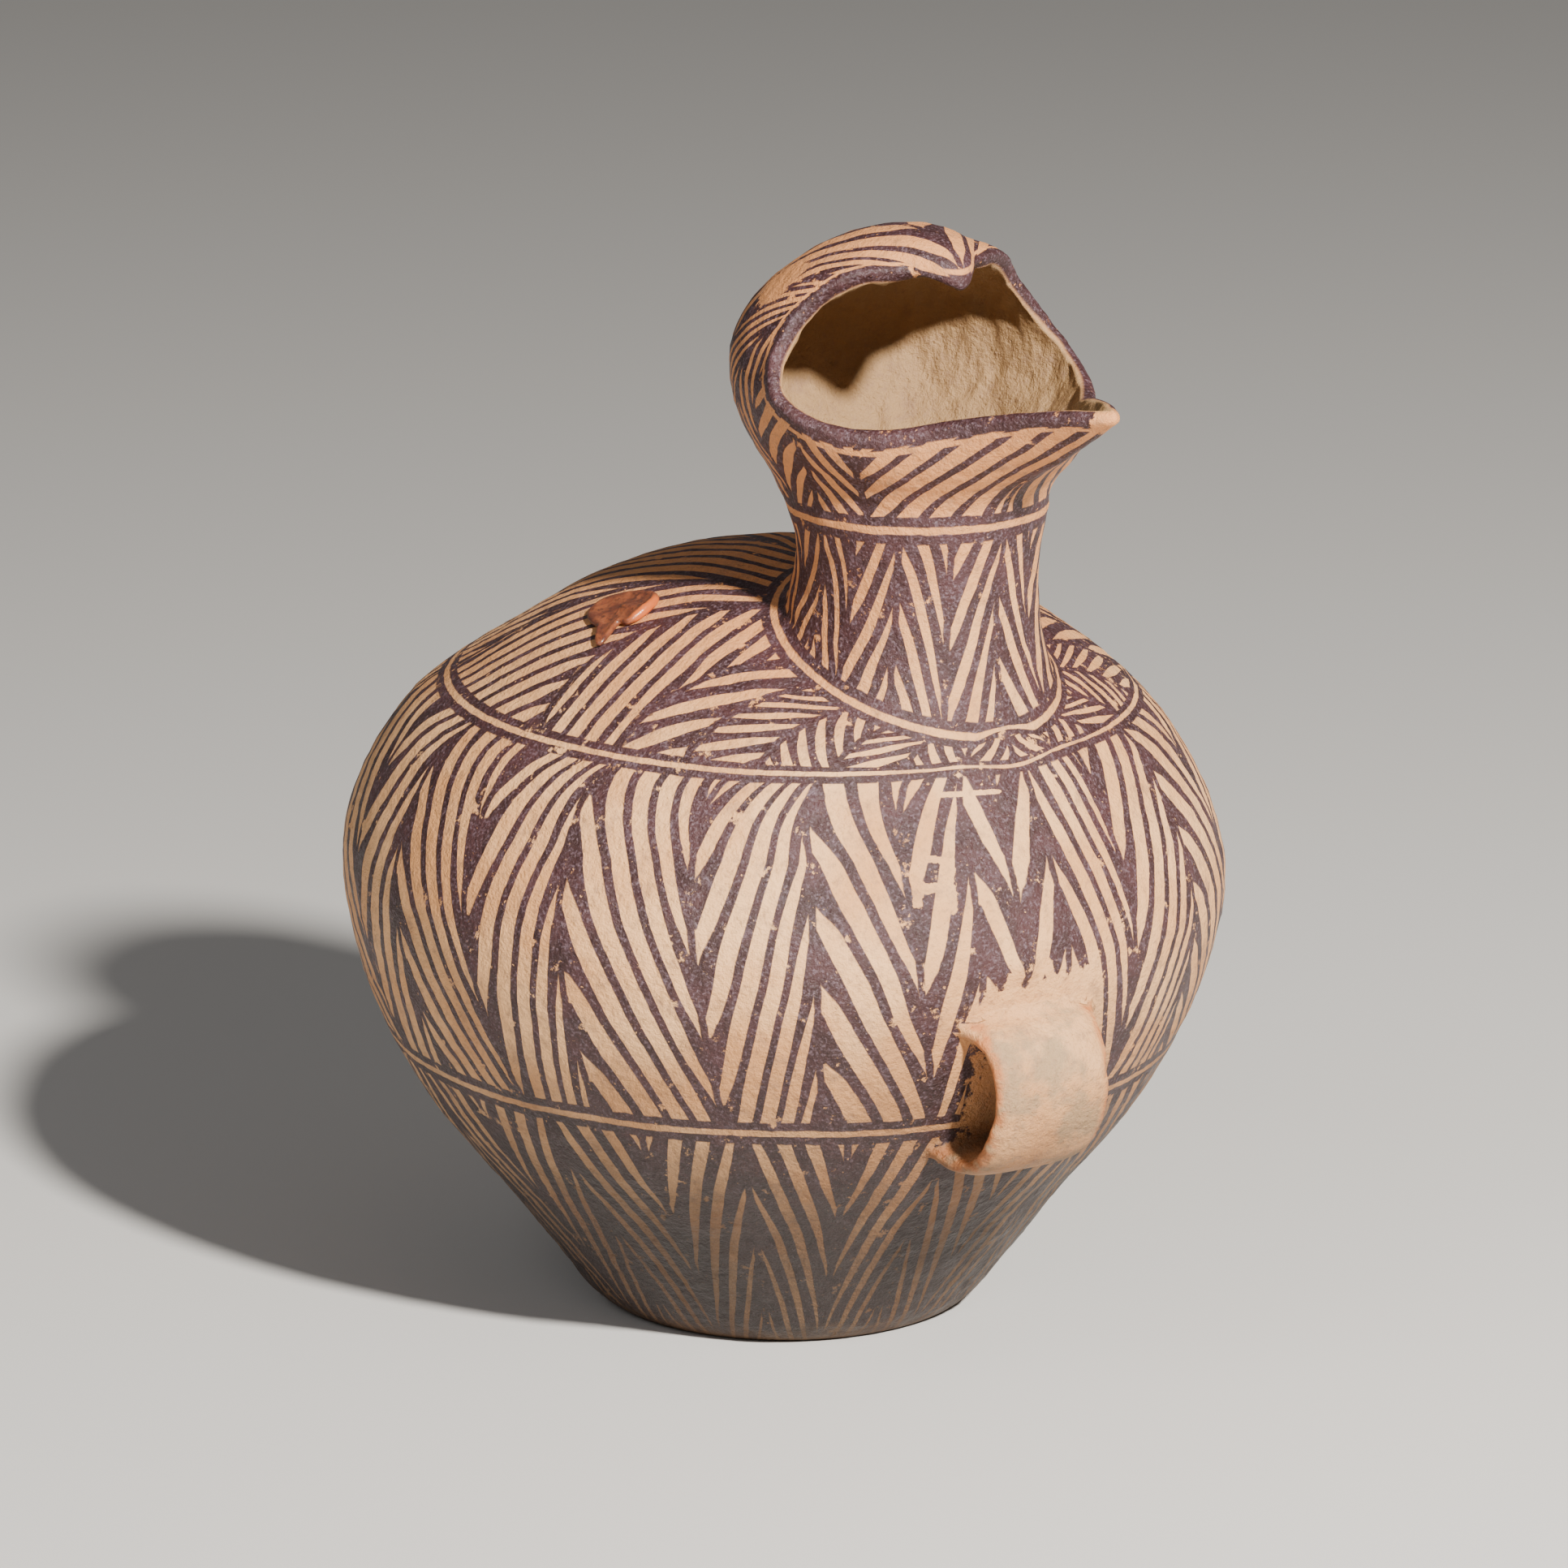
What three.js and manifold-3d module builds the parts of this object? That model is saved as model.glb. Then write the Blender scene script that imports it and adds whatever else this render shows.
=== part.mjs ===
// Bird-shaped pottery jar: a round-bellied vessel whose neck rises off centre into a hooded head with a
// heart-shaped mouth and a pinched beak, one strap handle on the breast, and a lump of sealing wax on the back.
// All sizes are in millimetres. Z is up, the jar stands on z = 0, and the bird faces -Y.
import * as THREE from 'three';
import { mergeVertices } from 'three/addons/utils/BufferGeometryUtils.js';
import Module from 'manifold-3d';

// Walls and floor of the fired clay
const BODY_WALL = 5;
const HEAD_WALL = 4.6;
const BEAK_WALL = 3.8;
const HEAD_WALL_REACHED = 1 / 3;
const BEAK_NARROWNESS = 4;
const FLOOR = 6;
const LIP_BULGE = 1.8;

// Foot and belly, round about the Z axis
const BASE_RADIUS = 49.5;
const FOOT_EDGE = 3;
const BELLY_RADIUS = 116;
const BELLY_HEIGHT = 112;

// Neck: a ring that tips down at the front, a narrow waist and a level ring below the head
const NECK_FORWARD = 55;
const NECK_BASE_RADIUS = 36.8;
const NECK_BASE_HEIGHT = 186.5;
const NECK_BASE_TIP = 16;
const NECK_WAIST_RADIUS = 30;
const NECK_TOP_RADIUS = 33.8;
const NECK_TOP_HEIGHT = 224.5;

// Head: a hood about this centre, over the neck
const HEAD_RISE = 39;
const HOOD_BACK = 52.6;
const HOOD_SIDE = 48.6;
const HOOD_UP = 36.5;
const HOOD_DOWN = 41.4;

// How the hood leaves the round shell: lean of its back, and how late it gives way to the rim and the neck
const HOOD_LEAN = 1.8;
const HOOD_LEAN_DROP = 0.1;
const RIM_PULL = 3;
const NECK_PULL = 5;

// Strap handle on the breast
const HANDLE_TURN = 5.2;
const HANDLE_TOP = 101;
const HANDLE_BOTTOM = 65;
const HANDLE_WIDTH = 34;
const HANDLE_THICK = 6.2;
const HANDLE_REACH = 15;
const HANDLE_ROOT_FLARE = 1.25;
const HANDLE_FLARE_START = 6;
const HANDLE_SQUARENESS = 0.6;
const HANDLE_FLATNESS = 0.8;
const HANDLE_SINK = 2.6;

// Sealing wax on the shoulder behind the neck
const WAX_TURN = 124.7;
const WAX_RING = 11.41;
const WAX_LENGTH = 23;
const WAX_WIDTH = 17;
const WAX_HEIGHT = 2.6;
const WAX_SLANT = 55;
const WAX_GAP = 0.3;

// Profiles as shares, so that they follow the sizes above.
// Rounding of the foot: shares of the foot edge, in from the base radius and up
const FOOT_ROUND = [[1, 0], [0.3, 0.2]];
// Rounding of the floor inside: share of its radius, rise in millimetres
const FLOOR_ROUND = [[1, 1.5], [0.85, 0]];
// Wax from its bed over the raised edge to the pressed middle: share of its size, share of its height
const WAX_PROFILE = [[0.9, 0], [1, 0.3], [0.93, 0.9], [0.78, 1], [0.6, 0.75]];
const WAX_MIDDLE = 0.7;
const WAX_WOBBLE = 0.05;
// Foot to belly: share of the way out from base to belly radius, share of the belly height
const FLANK = [[0.065, 0.045], [0.166, 0.125], [0.394, 0.304], [0.684, 0.518], [0.893, 0.75], [1, 1]];
// Belly to neck along the breast and along the back: share of the way in to the neck, share of the way up
const BREAST = [[0.173, 0.355], [0.582, 0.686], [0.81, 0.86], [0.87, 0.9], [0.93, 0.94]];
const BACK = [[0.002, 0.256], [0.109, 0.53], [0.319, 0.75], [0.54, 0.924], [0.792, 1.008]];
const NECK_STEPS = 4;

// Rim of the mouth on the bird's right side, mirrored to the left. Turn from the beak in degrees, then
// millimetres forward of the neck, to the side, and above the neck's top ring
const RIM = [
  [0, 77.5, 0, 33.4],
  [8, 69.5, 7.2, 33.4],
  [18, 55.7, 15.1, 31.7],
  [30, 40.5, 24.5, 28.6],
  [45, 27.3, 36.4, 25.4],
  [60, 15, 45.6, 26.8],
  [75, 3.1, 49.3, 32.5],
  [90, -2.7, 46.9, 39.7],
  [105, -4.5, 41.8, 47.3],
  [120, -3.4, 36, 54.2],
  [135, 1.2, 28.8, 60.7],
  [150, 5.6, 20.6, 64],
  [165, 10.2, 10.8, 63],
  [180, 18.6, 0, 59.4],
];

// How finely the surfaces are cut
const COLUMNS = 52;
const RINGS_PER_STEP = 2;
const HOOD_ROWS = 15;
const INNER_HOOD_ROWS = 10;
const COLUMN_CROWD = 0.2;
const LIP_ROWS = 3;
const STRAP_STEPS = 14;
const STRAP_SIDES = 12;
const WAX_SIDES = 18;

// Small steps for slopes and searches
const TURN_STEP = 0.002;
const RING_STEP = 0.02;
const HOOD_STEP = 0.01;
const LIP_STEP = 0.03;
const WAX_STEP = 0.01;
const HALVINGS = 40;

const wasm = await Module();
wasm.setup();

const clay = new THREE.MeshStandardMaterial({ name: 'painted clay', color: 0x8a6f5e, roughness: 0.6, metalness: 0 });
const wax = new THREE.MeshStandardMaterial({ name: 'sealing wax', color: 0xa2623c, roughness: 0.45, metalness: 0 });

const mix = (a, b, t) => a + (b - a) * t;

// A point from its distance forward, its distance to the bird's right, and its height
const point = (forward, side, height) => new THREE.Vector3(-side, -forward, height);

// Smooth curve through rows of numbers, at a place counted in rows
function along(rows, place) {
  const first = Math.min(Math.floor(place), rows.length - 2);
  const t = place - first;
  const at = (i) => rows[Math.max(0, Math.min(rows.length - 1, i))];
  return rows[first].map((_, k) => {
    const [a, b, c, d] = [at(first - 1)[k], at(first)[k], at(first + 1)[k], at(first + 2)[k]];
    const [leave, arrive] = [(c - a) / 2, (d - b) / 2];
    return b + t * (leave + t * (3 * (c - b) - 2 * leave - arrive + t * (2 * (b - c) + leave + arrive)));
  });
}

// Rings of the vessel, foot to neck: forward and height of the front point, then of the back point
function vesselRings() {
  const round = (radius, height) => [radius, height, -radius, height];
  const rings = FOOT_ROUND.map(([inward, up]) => round(BASE_RADIUS - inward * FOOT_EDGE, up * FOOT_EDGE));
  for (const [out, up] of FLANK) {
    rings.push(round(mix(BASE_RADIUS, BELLY_RADIUS, out), up * BELLY_HEIGHT));
  }
  const front = NECK_FORWARD + NECK_BASE_RADIUS;
  const back = NECK_FORWARD - NECK_BASE_RADIUS;
  const low = NECK_BASE_HEIGHT - NECK_BASE_TIP;
  const high = NECK_BASE_HEIGHT + NECK_BASE_TIP;
  BREAST.forEach(([frontIn, frontUp], i) => {
    const [backIn, backUp] = BACK[i];
    rings.push([
      mix(BELLY_RADIUS, front, frontIn),
      mix(BELLY_HEIGHT, low, frontUp),
      mix(-BELLY_RADIUS, back, backIn),
      mix(BELLY_HEIGHT, high, backUp),
    ]);
  });
  for (let i = 0; i <= NECK_STEPS; i += 1) {
    const up = i / NECK_STEPS;
    const swell = (NECK_BASE_RADIUS - NECK_WAIST_RADIUS) * (1 - up) ** 3;
    const radius = NECK_WAIST_RADIUS + swell + (NECK_TOP_RADIUS - NECK_WAIST_RADIUS) * up ** 3;
    rings.push([
      NECK_FORWARD + radius,
      mix(low, NECK_TOP_HEIGHT, up),
      NECK_FORWARD - radius,
      mix(high, NECK_TOP_HEIGHT, up),
    ]);
  }
  return rings;
}

const RINGS = vesselRings();
const FOOT_RING = FOOT_ROUND.length;

// Point of the vessel's outside, at a place counted in rings and a turn in radians from the front
function vesselPoint(place, turn) {
  const [front, frontHeight, back, backHeight] = along(RINGS, place);
  const share = (1 - Math.cos(turn)) / 2;
  const side = (front - back) / 2 * Math.sin(turn);
  return point(mix(front, back, share), side, mix(frontHeight, backHeight, share));
}

// Point of the rim's outer edge
function rimPoint(turn) {
  const degrees = THREE.MathUtils.radToDeg(turn);
  const mirrored = (row, centre) => [2 * centre - row[0], row[1], -row[2], row[3]];
  const table = [mirrored(RIM[1], 0), ...RIM, mirrored(RIM[RIM.length - 2], 180)];
  const wanted = Math.abs(degrees);
  let i = 1;
  while (i < table.length - 3 && table[i + 1][0] < wanted) {
    i += 1;
  }
  const span = table[i + 1][0] - table[i][0];
  const t = (wanted - table[i][0]) / span;
  const slope = (j, k) => (table[j + 1][k] - table[j - 1][k]) / (table[j + 1][0] - table[j - 1][0]) * span;
  const [forward, side, height] = [1, 2, 3].map((k) => {
    const [from, to, leave, arrive] = [table[i][k], table[i + 1][k], slope(i, k), slope(i + 1, k)];
    return from + t * (leave + t * (3 * (to - from) - 2 * leave - arrive + t * (2 * (from - to) + leave + arrive)));
  });
  return point(NECK_FORWARD + forward, Math.sign(degrees) * side, NECK_TOP_HEIGHT + height);
}

// Point of the hood's outside: up = 0 is the neck's top ring and up = 1 the rim
function hoodPoint(up, turn) {
  const centre = point(NECK_FORWARD, 0, NECK_TOP_HEIGHT + HEAD_RISE);
  const low = vesselPoint(RINGS.length - 1, turn).sub(centre);
  const high = rimPoint(turn).sub(centre);
  const [lowReach, highReach] = [low.length(), high.length()];
  low.normalize();
  high.normalize();
  const lean = HOOD_LEAN * ((1 - Math.cos(turn)) / 2) ** 2;
  const middle = low.clone().add(high).add(point(-lean, 0, -HOOD_LEAN_DROP * lean)).normalize();
  const ray = low.multiplyScalar((1 - up) ** 2).addScaledVector(middle, 2 * up * (1 - up));
  ray.addScaledVector(high, up ** 2).normalize();
  const rise = ray.z > 0 ? HOOD_UP : HOOD_DOWN;
  const shell = 1 / Math.hypot(ray.y / HOOD_BACK, ray.x / HOOD_SIDE, ray.z / rise);
  const reach = mix(mix(shell, highReach, up ** RIM_PULL), lowReach, (1 - up) ** NECK_PULL);
  return ray.multiplyScalar(reach).add(centre);
}

// Outward normal of a surface given as a function of two numbers
function normalOf(surface, u, v, du, uMin, uMax) {
  const upward = surface(Math.min(uMax, u + du), v).sub(surface(Math.max(uMin, u - du), v));
  const round = surface(u, v + TURN_STEP).sub(surface(u, v - TURN_STEP));
  return upward.cross(round).normalize();
}

// Turns of the columns, closer together at the beak and at the hood's tip
const TURNS = Array.from({ length: COLUMNS }, (_, i) => {
  const even = i / COLUMNS * 2 * Math.PI;
  return even - COLUMN_CROWD * Math.sin(2 * even) - (even > Math.PI ? 2 * Math.PI : 0);
});

// Wall of the head, thinner towards the beak
function headWall(up, turn) {
  const beak = Math.max(0, Math.cos(turn)) ** BEAK_NARROWNESS * up;
  return mix(mix(BODY_WALL, HEAD_WALL, Math.min(1, up / HEAD_WALL_REACHED)), BEAK_WALL, beak);
}

function vesselNormal(place, turn) {
  return normalOf(vesselPoint, place, turn, RING_STEP, FOOT_RING, RINGS.length - 1);
}

function hoodNormal(up, turn) {
  return normalOf(hoodPoint, up, turn, HOOD_STEP, 0, 1);
}

// A closed body from rows of points, fanned shut at the first and last row's centre
function bodyFromRows(rows, firstCentre, lastCentre) {
  const count = rows[0].length;
  const corners = [firstCentre, ...rows.flat(), lastCentre];
  const last = corners.length - 1;
  const faces = [];
  for (let j = 0; j < count; j += 1) {
    const next = (j + 1) % count;
    faces.push(0, 1 + j, 1 + next);
    for (let i = 0; i < rows.length - 1; i += 1) {
      const [a, b] = [1 + i * count + j, 1 + i * count + next];
      const [c, d] = [a + count, b + count];
      faces.push(a, d, b, a, c, d);
    }
    faces.push(last, last - count + next, last - count + j);
  }
  const geometry = new THREE.BufferGeometry();
  geometry.setAttribute('position', new THREE.Float32BufferAttribute(corners.flatMap((p) => p.toArray()), 3));
  geometry.setIndex(faces);
  return geometry;
}

function toSolid(geometry) {
  const plain = new THREE.BufferGeometry();
  plain.setAttribute('position', geometry.getAttribute('position'));
  plain.setIndex(geometry.getIndex());
  const joined = mergeVertices(plain, 1e-4);
  return new wasm.Manifold(new wasm.Mesh({
    numProp: 3,
    vertProperties: new Float32Array(joined.getAttribute('position').array),
    triVerts: new Uint32Array(joined.getIndex().array),
  }));
}

function toGeometry(solid) {
  const mesh = solid.getMesh();
  const geometry = new THREE.BufferGeometry();
  geometry.setAttribute('position', new THREE.Float32BufferAttribute(Array.from(mesh.vertProperties), 3));
  geometry.setIndex(Array.from(mesh.triVerts));
  return geometry;
}

// The hollow vessel: outside from the base up to the rim, round the lip, and down the inside to the floor
function vesselShell() {
  const rows = [];
  const lastRing = RINGS.length - 1;
  rows.push(TURNS.map((turn) => vesselPoint(0, turn)));
  rows.push(TURNS.map((turn) => vesselPoint(1, turn)));
  for (let i = FOOT_RING * RINGS_PER_STEP; i <= lastRing * RINGS_PER_STEP; i += 1) {
    rows.push(TURNS.map((turn) => vesselPoint(i / RINGS_PER_STEP, turn)));
  }
  for (let i = 1; i <= HOOD_ROWS; i += 1) {
    rows.push(TURNS.map((turn) => hoodPoint(i / HOOD_ROWS, turn)));
  }
  for (let i = 1; i <= LIP_ROWS; i += 1) {
    const angle = i / (LIP_ROWS + 1) * Math.PI;
    rows.push(TURNS.map((turn) => {
      const edge = hoodPoint(1, turn);
      const away = edge.clone().sub(hoodPoint(1 - LIP_STEP, turn)).normalize();
      const across = (1 - Math.cos(angle)) / 2 * headWall(1, turn);
      return edge.addScaledVector(hoodNormal(1, turn), -across).addScaledVector(away, Math.sin(angle) * LIP_BULGE);
    }));
  }
  for (let i = INNER_HOOD_ROWS; i >= 1; i -= 1) {
    const up = i / INNER_HOOD_ROWS;
    rows.push(TURNS.map((turn) => hoodPoint(up, turn).addScaledVector(hoodNormal(up, turn), -headWall(up, turn))));
  }
  for (let place = lastRing; place > FOOT_RING; place -= 1) {
    rows.push(TURNS.map((turn) => vesselPoint(place, turn).addScaledVector(vesselNormal(place, turn), -BODY_WALL)));
  }
  for (const [share, rise] of FLOOR_ROUND) {
    const radius = share * (BASE_RADIUS - BODY_WALL);
    rows.push(TURNS.map((turn) => point(radius * Math.cos(turn), radius * Math.sin(turn), FLOOR + rise)));
  }
  return bodyFromRows(rows, point(0, 0, 0), point(0, 0, FLOOR));
}

// Place, counted in rings, where the breast has this height
function breastPlace(height) {
  let [low, high] = [FOOT_RING, FOOT_RING + FLANK.length + BREAST.length];
  for (let i = 0; i < HALVINGS; i += 1) {
    const middle = (low + high) / 2;
    if (vesselPoint(middle, 0).z < height) {
      low = middle;
    } else {
      high = middle;
    }
  }
  return low;
}

// The strap handle: a flat oval section carried from its upper root out and down to its lower root
function handleStrap() {
  const turn = THREE.MathUtils.degToRad(HANDLE_TURN);
  const root = (height) => {
    const place = breastPlace(height);
    return { spot: vesselPoint(place, turn), normal: vesselNormal(place, turn) };
  };
  const [top, bottom] = [root(HANDLE_TOP), root(HANDLE_BOTTOM)];
  const sunk = ({ spot, normal }) => spot.clone().addScaledVector(normal, -HANDLE_SINK);
  const reach = 4 / 3 * (HANDLE_REACH + HANDLE_THICK / 2);
  const pull = ({ spot, normal }) => spot.clone().addScaledVector(normal, reach);
  const path = new THREE.CubicBezierCurve3(sunk(top), pull(top), pull(bottom), sunk(bottom));
  const across = new THREE.Vector3(-Math.cos(turn), Math.sin(turn), 0);
  const rows = [];
  for (let i = 0; i <= STRAP_STEPS; i += 1) {
    const share = i / STRAP_STEPS;
    const flare = 1 + (HANDLE_ROOT_FLARE - 1) * Math.abs(2 * share - 1) ** HANDLE_FLARE_START;
    const outward = across.clone().cross(path.getTangent(share)).normalize();
    rows.push(Array.from({ length: STRAP_SIDES }, (_, j) => {
      const angle = j / STRAP_SIDES * 2 * Math.PI;
      const [c, s] = [Math.cos(angle), Math.sin(angle)];
      const wide = Math.sign(c) * Math.abs(c) ** HANDLE_SQUARENESS * HANDLE_WIDTH / 2 * flare;
      const thick = Math.sign(s) * Math.abs(s) ** HANDLE_FLATNESS * HANDLE_THICK / 2 * flare;
      return path.getPoint(share).addScaledVector(across, wide).addScaledVector(outward, thick);
    }));
  }
  return bodyFromRows(rows, path.getPoint(0), path.getPoint(1));
}

// Sealing wax: an oval lump bedded on the shoulder, with a raised edge around a pressed middle
function waxLump() {
  const turn = THREE.MathUtils.degToRad(WAX_TURN);
  const slant = THREE.MathUtils.degToRad(WAX_SLANT);
  const centre = vesselPoint(WAX_RING, turn);
  const perTurn = vesselPoint(WAX_RING, turn + WAX_STEP).distanceTo(centre) / WAX_STEP;
  const perRing = vesselPoint(WAX_RING + WAX_STEP, turn).distanceTo(centre) / WAX_STEP;
  const spot = (angle, share, rise) => {
    const [a, b] = [Math.cos(angle) * WAX_LENGTH / 2 * share, Math.sin(angle) * WAX_WIDTH / 2 * share];
    const round = a * Math.cos(slant) - b * Math.sin(slant);
    const up = a * Math.sin(slant) + b * Math.cos(slant);
    const [place, there] = [WAX_RING + up / perRing, turn + round / perTurn];
    return vesselPoint(place, there).addScaledVector(vesselNormal(place, there), WAX_GAP + rise);
  };
  const rows = WAX_PROFILE.map(([share, rise]) => Array.from({ length: WAX_SIDES }, (_, j) => {
    const angle = j / WAX_SIDES * 2 * Math.PI;
    return spot(angle, share * (1 + WAX_WOBBLE * Math.sin(3 * angle + 1)), rise * WAX_HEIGHT);
  }));
  return bodyFromRows(rows, spot(0, 0, 0), spot(0, 0, WAX_MIDDLE * WAX_HEIGHT));
}

function named(name, geometry, material) {
  geometry.computeVertexNormals();
  const mesh = new THREE.Mesh(geometry, material);
  mesh.name = name;
  return mesh;
}

const jar = toSolid(vesselShell()).add(toSolid(handleStrap()));
const group = new THREE.Group();
group.add(named('bird_jar', toGeometry(jar), clay));
group.add(named('wax_seal', waxLump(), wax));

export default group;
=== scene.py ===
"""Looks of the bird-shaped pottery jar: modelled surface, painted bands of nested chevrons, and a wax seal.

The jar stands on z = 0 and faces -Y. Lengths in the tables are in millimetres and turns in degrees,
counted from the beak towards the bird's right side.
"""
import math

import bpy
import numpy as np
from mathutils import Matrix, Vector, kdtree, noise


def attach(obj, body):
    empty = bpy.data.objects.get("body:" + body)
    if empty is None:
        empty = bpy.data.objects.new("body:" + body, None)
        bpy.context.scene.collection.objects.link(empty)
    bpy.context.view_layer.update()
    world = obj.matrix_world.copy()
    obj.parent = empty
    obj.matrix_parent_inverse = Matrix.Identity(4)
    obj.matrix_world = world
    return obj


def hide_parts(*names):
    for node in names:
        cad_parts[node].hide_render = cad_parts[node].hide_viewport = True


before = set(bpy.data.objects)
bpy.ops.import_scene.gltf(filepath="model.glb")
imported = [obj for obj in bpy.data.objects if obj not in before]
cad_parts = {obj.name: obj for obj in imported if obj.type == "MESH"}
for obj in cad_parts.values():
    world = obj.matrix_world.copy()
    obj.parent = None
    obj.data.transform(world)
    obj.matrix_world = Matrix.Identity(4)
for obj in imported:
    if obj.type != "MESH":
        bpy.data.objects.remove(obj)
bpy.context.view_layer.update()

MM = 0.001

# Walls and shape, as in the solids
BODY_WALL = 5.0
HEAD_WALL = 4.6
BEAK_WALL = 3.8
HEAD_WALL_REACHED = 1 / 3
BEAK_NARROWNESS = 4
FLOOR = 6.0
LIP_BULGE = 1.8
BASE_RADIUS = 49.5
FOOT_EDGE = 3.0
BELLY_RADIUS = 116.0
BELLY_HEIGHT = 112.0
NECK_FORWARD = 55.0
NECK_BASE_RADIUS = 36.8
NECK_BASE_HEIGHT = 186.5
NECK_BASE_TIP = 16.0
NECK_WAIST_RADIUS = 30.0
NECK_TOP_RADIUS = 33.8
NECK_TOP_HEIGHT = 224.5
NECK_STEPS = 4
HEAD_RISE = 39.0
HOOD_BACK = 52.6
HOOD_SIDE = 48.6
HOOD_UP = 36.5
HOOD_DOWN = 41.4
HOOD_LEAN = 1.8
HOOD_LEAN_DROP = 0.1
RIM_PULL = 3
NECK_PULL = 5
HANDLE_TURN = 5.2
HANDLE_TOP = 101.0
HANDLE_BOTTOM = 65.0
HANDLE_WIDTH = 34.0
HANDLE_THICK = 6.2
HANDLE_REACH = 15.0
HANDLE_ROOT_FLARE = 1.25
HANDLE_FLARE_START = 6
HANDLE_SQUARENESS = 0.6
HANDLE_FLATNESS = 0.8
HANDLE_SINK = 2.6
HANDLE_SAMPLES = 600
WAX_TURN = 124.7
WAX_RING = 11.41
WAX_LENGTH = 23.0
WAX_WIDTH = 17.0
WAX_HEIGHT = 2.6
WAX_SLANT = 55.0
WAX_GAP = 0.3
WAX_WOBBLE = 0.05
WAX_SIDES = 90
WAX_STEP = 0.01
FOOT_ROUND = [[1, 0], [0.3, 0.2]]
FLANK = [[0.065, 0.045], [0.166, 0.125], [0.394, 0.304], [0.684, 0.518], [0.893, 0.75], [1, 1]]
BREAST = [[0.173, 0.355], [0.582, 0.686], [0.81, 0.86], [0.87, 0.9], [0.93, 0.94]]
BACK = [[0.002, 0.256], [0.109, 0.53], [0.319, 0.75], [0.54, 0.924], [0.792, 1.008]]
RIM = np.array([
    [0, 77.5, 0, 33.4], [8, 69.5, 7.2, 33.4], [18, 55.7, 15.1, 31.7], [30, 40.5, 24.5, 28.6],
    [45, 27.3, 36.4, 25.4], [60, 15, 45.6, 26.8], [75, 3.1, 49.3, 32.5], [90, -2.7, 46.9, 39.7],
    [105, -4.5, 41.8, 47.3], [120, -3.4, 36, 54.2], [135, 1.2, 28.8, 60.7], [150, 5.6, 20.6, 64],
    [165, 10.2, 10.8, 63], [180, 18.6, 0, 59.4],
])

# How finely the surface is cut
COLUMNS = 300
COLUMN_CROWD = 0.1
ROW_STEP = 2.3
HOOD_ROWS = 42
LIP_ROWS = 6
INNER_HOOD_ROWS = 34
INNER_ROW_STEP = 4.5
STRAP_STEPS = 56
STRAP_SIDES = 40
SMALL_TURN = 0.002
SMALL_RING = 0.02
SMALL_UP = 0.01
LIP_STEP = 0.03
FOOT_PLACES = [0.0, 0.5, 1.0, 1.5]
MEASURED_TURN = 2.2
INNER_FLOOR = [[1, 1.5], [0.85, 0], [0.6, 0], [0.3, 0]]

# Relief of the hand-built surface: how deep each kind is, and the size of its lumps
SWELL, SWELL_SIZE, INNER_SWELL = 0.5, 42, 0.6
DRAG, DRAG_SIZE, DRAG_STRETCH = 0.22, 9, [1, 1, 2.2]
PIT_DEPTH, PIT_SIZE, PIT_LEVEL = 0.8, 6, 0.35
PITS_TOP, PITS_FADE = 95, 70
INNER_RIPPLE, INNER_RIPPLE_SIZE, INNER_STRETCH = 0.9, 8, [1, 1, 0.25]
INNER_LUMPS, INNER_LUMP_SIZE = 1.0, 15
LUMP_SPOT = np.array([-14.2, -115.2, 115.9])
LUMP_SIZE = np.array([4.2, 4.0, 2.6])
LUMP_RISE = 1.8
CALM_ROUND_WAX = 0.6
RELIEF_FADE = 6
ON_FLOOR = 0.01
FAR_FROM_RIM = 50.0

# The handle's worn edges, and the soft corner where it meets the body
HANDLE_WEAR, HANDLE_WEAR_SIZE = 0.8, 7
HANDLE_MARGIN = 0.4
HANDLE_EDGE, HANDLE_EDGE_FADE = 2.5, 1.5
ROOT_BOX = np.array([[-26, -150, 52], [14, -60, 116]])
ROOT_AWAY = [0.02, 1.2]
ROOT_REACH = 4.5
ROOT_ROUNDS = 10
ROOT_EASE = 0.6

# The wax: angle and reach of its tail, notch and low edge, and its profile as shares of width and height
WAX_TAIL, WAX_TAIL_LENGTH = [2.62, 0.17], 0.85
WAX_NOTCH, WAX_NOTCH_DEPTH = [2.22, 0.14], 0.2
WAX_LOW_EDGE = [1.1, 0.85]
WAX_FOOT = 0.9
WAX_PROFILE = [
    [0.97, 0.12], [1.0, 0.35], [0.98, 0.7], [0.94, 0.92], [0.88, 1.0], [0.8, 0.96], [0.72, 0.8],
    [0.64, 0.7], [0.55, 0.66], [0.46, 0.66], [0.37, 0.68], [0.28, 0.66], [0.19, 0.68], [0.1, 0.7],
]
WAX_FLAT_RISE, WAX_EDGE_RISE, WAX_LEAST_RISE = 0.55, 0.45, 0.05
WAX_WRINKLE, WAX_WRINKLE_SIZE = 0.3, 3.2
WAX_FADE_END, WAX_FADE_RATE = 1.02, 6
WAX_RIDGE = 0.82

# Bands round the jar: a light line between two dark ones
LOWER_LINE = 75.0
LOWER_LINE_TIP = 1.7
SHOULDER_LINE = 167.5
SHOULDER_LINE_TIP = 2.8
FLANK_RING, BELLY_RING, NECK_RING = 5, 7, 13
BAND_REACH = 20.0

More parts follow.
